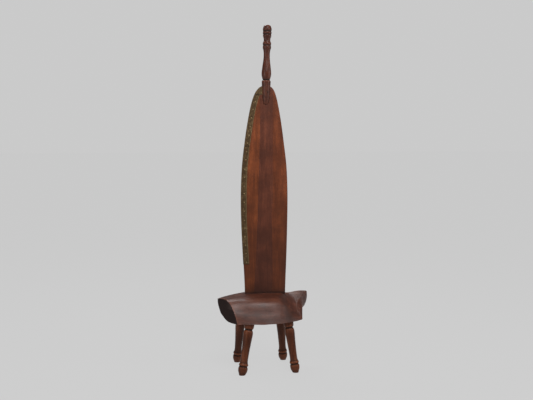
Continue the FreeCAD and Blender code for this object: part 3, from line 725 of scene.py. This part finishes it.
def turned_outline(turning, step=0.9):
    """The turned profile as many heights and radii: smooth between crisp corners, every corner then eased
    by averaging each point with its neighbours."""
    runs = [[]]
    for height, width, crisp in turning:
        runs[-1].append((height, width / 2))
        if crisp:
            runs.append([(height, width / 2)])
    outline = []
    for run in runs:
        if len(run) > 1:
            length = np.linalg.norm(np.diff(np.array(run), axis=0), axis=1).sum()
            outline.append(along_points(run, max(int(length / step), 3))[:-1])
    outline.append(np.array([(turning[-1][0], turning[-1][1] / 2)]))
    outline = np.concatenate(outline)
    for _ in range(2):
        outline[1:-1] = 0.25 * outline[:-2] + 0.5 * outline[1:-1] + 0.25 * outline[2:]
    return outline


def turned_piece(name, turning, seed, around=72, handling=None):
    """A turned form: the outline carried round the axis.  The wood has shrunk slightly oval, the chisel
    has left faint rings, and old knocks dent it.  Hollows are darker and the fattest rings are rubbed;
    handling gives further wear or darkening, as pairs of height and value."""
    outline = turned_outline(turning)
    height, radius = outline.T
    turn = np.linspace(0, 2 * np.pi, around, endpoint=False)
    rng = np.random.default_rng(seed)
    oval = 1 + 0.007 * np.sin(2 * turn + rng.uniform(0, 6))
    rings = 0.05 * np.sin(height * 2.9 + rng.uniform(0, 6)) * np.clip(radius / 8, 0, 1)
    wide = (radius + rings)[:, None] * oval[None, :]
    up = np.broadcast_to(height[:, None], wide.shape)
    points = np.stack([wide * np.cos(turn), wide * np.sin(turn), up], -1)
    knocks = np.clip(ripple(points, 22, seed + 1) - 0.75, 0, 1)
    points[..., :2] *= (1 - 0.035 * knocks)[..., None]
    near = np.convolve(np.pad(radius, 8, mode="edge"), np.ones(17) / 17, "valid")
    proud = np.clip((radius - near) / 1.1, -1, 1)
    wear_and_shade = np.where(proud > 0, 0.55 * proud, proud)[:, None] * np.ones(around)[None]
    if handling:
        wear_and_shade = wear_and_shade + np.interp(height, *np.array(handling, float).T)[:, None]
    return mesh_from(name, points, capped_faces(len(outline), around), wear_and_shade)


def cut_away(piece, cutter):
    """Cut one solid out of another and drop the cutter."""
    trim = piece.modifiers.new("cut", "BOOLEAN")
    trim.object = cutter
    trim.operation = "DIFFERENCE"
    trim.solver = "EXACT"
    graph = bpy.context.evaluated_depsgraph_get()
    piece.data = bpy.data.meshes.new_from_object(piece.evaluated_get(graph))
    piece.modifiers.clear()
    bpy.data.objects.remove(cutter)


# the cheeks and the top rings are dark with old varnish, and the throat below the top rings is rubbed bright
finial_handling = [
    (0, -0.3), (104, -0.22), (120, -0.1), (180, 0.0), (240, 0.0), (256, -0.3),
    (276, -0.2), (288, 0.3), (299, 0.1), (306, -0.42), (344, -0.42), (356, 0.0),
]
finial = turned_piece("turned_finial", finial_turning, 51, handling=finial_handling)
finial.data.transform(finial_stand)
slot_clearance = 1.35
slot_rises = np.linspace(790, 915, 60)
slot_shares = np.linspace(0, 1, 25)
slot_front = blade_face(slot_rises, slot_shares, False, slot_clearance)
slot_back = blade_face(slot_rises, slot_shares, True, slot_clearance)
slot = np.concatenate([slot_front[:, ::-1][:, :-1], slot_back[:, :-1]], axis=1)
rows, columns = slot.shape[:2]
faces = capped_faces(rows, columns)
cut_away(finial, mesh_from("slot_cutter", slot, faces))
finial.data.transform(blade_into_frame)
finial_wood = varnished_mahogany(
    "finial_wood", "Z", (0.052, 0.013, 0.007), (0.096, 0.026, 0.013), (0.170, 0.050, 0.024),
    shift=(0.9, 0.1, 0.3), gloss=0.33, shine=0.22, coat=0.05, patch=45)
finish_piece(finial, [finial_wood], "turned_wood", "finial", angle=55)


# ---- Finial peg -----------------------------------------------------------------------------------------
# A whittled hardwood peg driven through both cheeks and the blade's tip, cut off almost flush and dark
# with age at both ends.

peg_radius = 4.5
peg_side, peg_height = 3.0, 60.0
cheek_radius = 18.6
PEG_AROUND = 48


def whittled_peg():
    """A rod of eight blunted flats through the spindle: radius eased by a cosine of eight turns, the ends
    rounded over and standing half a millimetre proud of the cheeks."""
    turn = np.linspace(0, 2 * np.pi, PEG_AROUND, endpoint=False)
    radius = peg_radius * (1 + 0.025 * np.cos(8 * turn))
    reach = math.sqrt(cheek_radius ** 2 - peg_side ** 2)
    depths = np.array([
        -reach - 0.5, -reach - 0.4, -reach - 0.1, -reach + 1, 0,
        reach - 1, reach + 0.1, reach + 0.4, reach + 0.5])
    shrink = np.array([0.35, 0.8, 0.97, 1, 1, 1, 0.97, 0.8, 0.35])
    wide = radius[None] * shrink[:, None]
    inwards = np.broadcast_to(depths[:, None], wide.shape)
    points = np.stack([peg_side + wide * np.cos(turn), inwards, peg_height + wide * np.sin(turn)], -1)
    faces = [face[::-1] for face in capped_faces(len(depths), PEG_AROUND)]
    wear_and_shade = np.broadcast_to(np.array([-0.6, -0.7, -0.9, -0.9, 0, -0.9, -0.9, -0.7, -0.6])[:, None], wide.shape)
    piece = mesh_from("peg_of_finial", points, faces, wear_and_shade)
    piece.data.transform(blade_into_frame @ finial_stand)
    return piece


finish_piece(whittled_peg(), [finial_wood], "turned_wood", "finial_peg", angle=60)


# ---- Legs -----------------------------------------------------------------------------------------------
# Four turned legs, splayed both ways and tenoned up into the seat, each with a bulbous foot, two rings and
# a swelling collar.  The feet are scuffed pale and the grooves are dark.

leg_turning = [
    (-9, 22, False), (-2, 25, False), (4, 28.5, False), (14, 37, False), (24, 40.3, False),
    (31, 39, False), (34.5, 35, True), (37.5, 34, True), (40, 39, False), (44, 40, False),
    (47, 39, True), (49.5, 34.5, True), (60, 31.5, False), (76, 31.5, False), (116, 34.5, False),
    (150, 38.5, False), (172, 41.5, False), (183, 40, False), (189, 36, True), (191.5, 31, True),
    (194.5, 31, True), (197, 37, False), (202, 41, False), (209, 42.5, False), (216, 42, False),
    (222, 39, True), (222.5, 25, True), (252, 25, False),
]
sole_height = 0.05              # the feet are cut level this far above the floor
# where each foot stands, and where the same leg meets the seat
leg_lines = {
    "leg_front_left": ((-117, -105), (-78, -68)), "leg_front_right": ((117, -105), (92, -68)),
    "leg_back_left": ((-106, 105), (-94, 70)), "leg_back_right": ((106, 105), (86, 70)),
}
for number, (name, ((foot_x, foot_y), (top_x, top_y))) in enumerate(leg_lines.items()):
    leg = turned_piece(name.replace("leg", "turned_leg"), leg_turning, 61 + 7 * number)
    aim = Vector((top_x - foot_x, top_y - foot_y, seat_bottom))
    lean = Vector((0, 0, 1)).rotation_difference(aim).to_matrix().to_4x4()
    shape = bmesh.new()
    shape.from_mesh(leg.data)
    shape.transform(Matrix.Translation((foot_x, foot_y, 0)) @ lean)
    cut = bmesh.ops.bisect_plane(
        shape, geom=shape.verts[:] + shape.edges[:] + shape.faces[:], dist=1e-5,
        plane_co=(0, 0, sole_height), plane_no=(0, 0, -1), clear_outer=True)
    rim = [item for item in cut["geom_cut"] if isinstance(item, bmesh.types.BMEdge)]
    bmesh.ops.holes_fill(shape, edges=rim, sides=0)
    bmesh.ops.recalc_face_normals(shape, faces=shape.faces[:])
    shape.transform(into_frame)
    shape.to_mesh(leg.data)
    shape.free()
    leg_wood = varnished_mahogany(
        f"{name}_wood", "Z", (0.058, 0.015, 0.006), (0.112, 0.032, 0.012), (0.200, 0.060, 0.024),
        shift=(0.5 * number, 0.3, 0.2 * number), gloss=0.44, shine=0.16, coat=0.02)
    finish_piece(leg, [leg_wood], "turned_wood", name, angle=55)


# ---- Tenon screws ---------------------------------------------------------------------------------------
# Two old slotted wood screws, driven through the back of the seat into the blade's tenon.

screw_height, screw_spacing, screw_point_y = 288.0, 70.0, 57.0
screw_turning = [
    (0, 0.6, False), (7, 5, True), (46, 5, True), (51.5, 9.5, True),
    (54.6, 9.5, True), (55.1, 8.6, False), (55.3, 1, False),
]
steel, steel_tree, steel_shader = new_material("old_steel")
steel_place = node(steel_tree, "ShaderNodeTexCoord").outputs["Object"]
rust = noise(steel_tree, steel_place, 420, 4, 0.7)
steel_colour = ramp(steel_tree, rust, (0.4, (0.075, 0.045, 0.032)), (0.62, (0.24, 0.225, 0.21)))
steel_tree.links.new(steel_colour, steel_shader.inputs["Base Color"])
steel_tree.links.new(ramp(steel_tree, rust, (0.4, 0.7), (0.62, 0.4)), steel_shader.inputs["Roughness"])
steel_shader.inputs["Metallic"].default_value = 0.8

screws = []
for side in (-1, 1):
    screw = turned_piece("screw", screw_turning, 90 + side, 32)
    corners = [(x, y, z) for x in (-6, 6) for y in (-0.6, 0.6) for z in (53.9, 60)]
    bar_faces = [(0, 1, 3, 2), (4, 6, 7, 5), (0, 4, 5, 1), (2, 3, 7, 6), (0, 2, 6, 4), (1, 5, 7, 3)]
    cut_away(screw, mesh_from("bar", np.array(corners), bar_faces))
    place = Matrix.Translation((blade_middle_x + side * screw_spacing / 2, screw_point_y, screw_height))
    lay_back = Matrix.Rotation(math.radians(-90), 4, "X")
    driven = Matrix.Rotation(side * 0.6 + 0.3, 4, "Z")
    screw.data.transform(into_frame @ place @ lay_back @ driven)
    screws.append(screw)
with bpy.context.temp_override(active_object=screws[0], selected_editable_objects=screws):
    bpy.ops.object.join()
screws[0].name = "screws_of_tenon"
finish_piece(screws[0], [steel], "screw_steel", "tenon_screws", angle=30)


# ---- Floor, light and camera ----------------------------------------------------------------------------
# A pale studio: an even pale floor, a large soft light high in front and a smaller one high behind, a
# softer one from each side, and a camera a little over a metre up, well back and slightly to the left.

floor_half = 40.0
floor_corners = np.array([(-1, -1, 0), (1, -1, 0), (1, 1, 0), (-1, 1, 0)]) * floor_half
floor = mesh_from("floor", floor_corners, [(0, 1, 2, 3)])
floor_glow, floor_matt = 0.58, 0.035
wall_brightness, room_brightness = 0.592, 0.16
pale_floor = bpy.data.materials.new("pale_floor")
pale_floor.use_nodes = True
floor_tree = pale_floor.node_tree
floor_tree.nodes.clear()
glow = node(floor_tree, "ShaderNodeEmission", {"Color": (1, 1, 1, 1), "Strength": floor_glow})
matt = node(floor_tree, "ShaderNodeBsdfDiffuse", {"Color": (floor_matt, floor_matt, floor_matt, 1)})
both = node(floor_tree, "ShaderNodeAddShader", {0: glow.outputs[0], 1: matt.outputs[0]})
node(floor_tree, "ShaderNodeOutputMaterial", {"Surface": both.outputs[0]})
floor.data.materials.append(pale_floor)

world = bpy.data.worlds.new("studio")
world.use_nodes = True
scene.world = world
world_tree = world.node_tree
world_tree.nodes.clear()
seen = node(world_tree, "ShaderNodeLightPath").outputs["Is Camera Ray"]
behind_it = node(world_tree, "ShaderNodeBackground", {"Color": (1, 1, 1, 1), "Strength": wall_brightness})
room = node(world_tree, "ShaderNodeBackground", {"Color": (1, 1, 1, 1), "Strength": room_brightness})
mixed = node(world_tree, "ShaderNodeMixShader", {0: seen, 1: room.outputs[0], 2: behind_it.outputs[0]})
node(world_tree, "ShaderNodeOutputWorld", {"Surface": mixed.outputs[0]})


def soft_light(name, place, aim, width, height, power):
    """A rectangular soft light at a place, turned to face its aim."""
    lamp = bpy.data.lights.new(name, "AREA")
    lamp.shape = "RECTANGLE"
    lamp.size = width
    lamp.size_y = height
    lamp.energy = power
    holder = bpy.data.objects.new(name, lamp)
    holder.location = place
    holder.rotation_euler = (Vector(aim) - Vector(place)).to_track_quat("-Z", "Y").to_euler()
    scene.collection.objects.link(holder)


soft_light("light_above_front", (0.15, -1.7, 3.0), (0, 0, 0.5), 1.5, 1.2, 62)
soft_light("light_above_back", (-0.35, 1.35, 3.0), (0, 0, 0.3), 1.2, 0.9, 34)
soft_light("light_left", (-2.6, -1.6, 1.5), (0, 0, 0.8), 1.0, 1.8, 26)
soft_light("light_right", (2.7, -1.2, 1.6), (0, 0, 0.8), 0.9, 1.8, 22)

camera_from_feet = (-0.669, -3.554, 1.030)
camera_down, camera_turned = 4.62, -10.8
camera_data = bpy.data.cameras.new("camera")
camera_data.lens = 56.5
camera_data.sensor_width = 36.0
camera = bpy.data.objects.new("camera", camera_data)
camera.location = Vector(camera_from_feet) + Vector(middle_of_feet)
camera.rotation_euler = (math.radians(90 - camera_down), 0, math.radians(camera_turned))
scene.collection.objects.link(camera)
scene.camera = camera
scene.view_settings.view_transform = "Standard"
